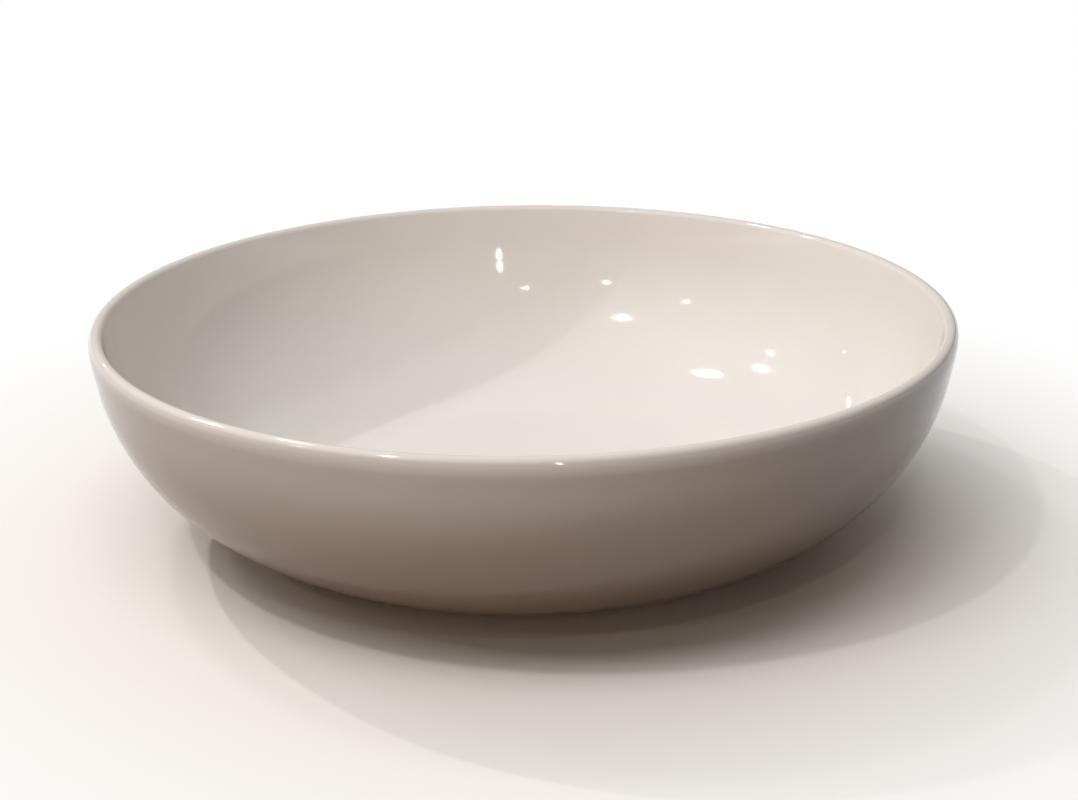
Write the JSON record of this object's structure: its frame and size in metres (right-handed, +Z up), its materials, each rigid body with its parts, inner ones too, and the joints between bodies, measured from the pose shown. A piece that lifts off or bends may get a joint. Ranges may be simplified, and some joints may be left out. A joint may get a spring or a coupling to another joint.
{
  "type": "serving bowl",
  "caption": "Wide round glazed porcelain serving bowl with a flat floor, a rounded belly, a slightly flared wall, a full-round lip and a low bare foot ring.",
  "frame": {"origin": "on the bowl's axis, in the plane of the foot ring's standing face", "axes": "+Z up along the bowl's axis, X and Y free because the bowl is round"},
  "size_m": [0.28, 0.28, 0.073],
  "materials": {
    "porcelain": "unglazed, fine matte",
    "glaze": "bright warm-white glaze"
  },
  "bodies": {
    "root": {"porcelain_body": "porcelain", "glaze_coat": "glaze", "foot_well_glaze": "glaze"}
  },
  "joints": []
}
